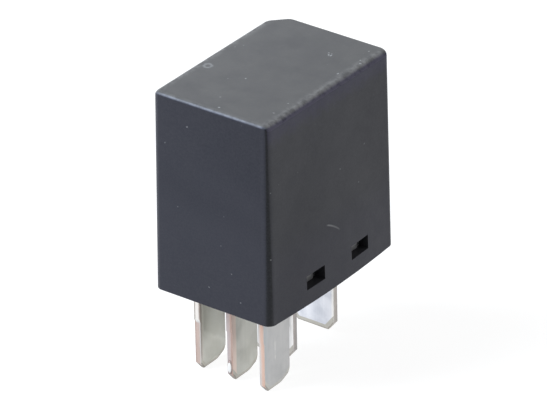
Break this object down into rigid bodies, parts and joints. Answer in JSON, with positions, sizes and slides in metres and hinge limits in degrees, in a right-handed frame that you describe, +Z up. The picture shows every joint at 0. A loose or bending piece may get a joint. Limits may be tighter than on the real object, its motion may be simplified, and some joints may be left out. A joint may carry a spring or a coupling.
{
  "type": "automotive relay",
  "caption": "Plug-in changeover relay with a black moulded cover snapped over its base, flat blades below and a hinged armature inside.",
  "frame": {"origin": "centre of the cover's lower rim, on the plane that rests on the socket", "axes": "+Z up out of the socket, away from the blades; X across the narrow side; Y along the long side, with the row of three blades towards -Y"},
  "size_m": [0.0176, 0.0244, 0.0371],
  "materials": {
    "cover_plastic": "fine matt moulded plastic, a little dusty",
    "base_plastic": "moulded plastic",
    "tinned_blade": "satin tin plate, bare copper alloy on the sheared edges",
    "plated_steel": "satin zinc plate",
    "bobbin_plastic": "natural moulded plastic",
    "coil_copper": "enamelled copper wire",
    "spring_bronze": "rolled spring bronze",
    "contact_silver": "silver alloy",
    "rivet_steel": "plated steel rivet"
  },
  "bodies": {
    "relay": {"cover": "cover_plastic", "base": "base_plastic", "coil_terminal_left": "tinned_blade", "coil_terminal_right": "tinned_blade", "break_terminal": "tinned_blade", "make_terminal": "tinned_blade", "common_terminal": "tinned_blade", "yoke": "plated_steel", "core": "plated_steel", "bobbin": "bobbin_plastic", "coil_winding": "coil_copper", "coil_lead_left": "coil_copper", "coil_lead_right": "coil_copper", "break_contact": "contact_silver", "make_contact": "contact_silver", "terminal_rivets": "rivet_steel", "yoke_rivets": "rivet_steel"},
    "armature": {"armature": "plated_steel", "contact_spring": "spring_bronze", "moving_contact": "contact_silver", "armature_rivets": "rivet_steel"}
  },
  "joints": [
    {"name": "armature_hinge", "type": "hinge", "parent": "relay", "child": "armature", "pos_m": [0, 0.00705, 0.01965], "axis": [1, 0, 0], "range_deg": [0, 2.4], "stiffness_Nm_per_rad": 0.02, "springref_deg": -4.58, "deforming": ["contact_spring"]}
  ]
}
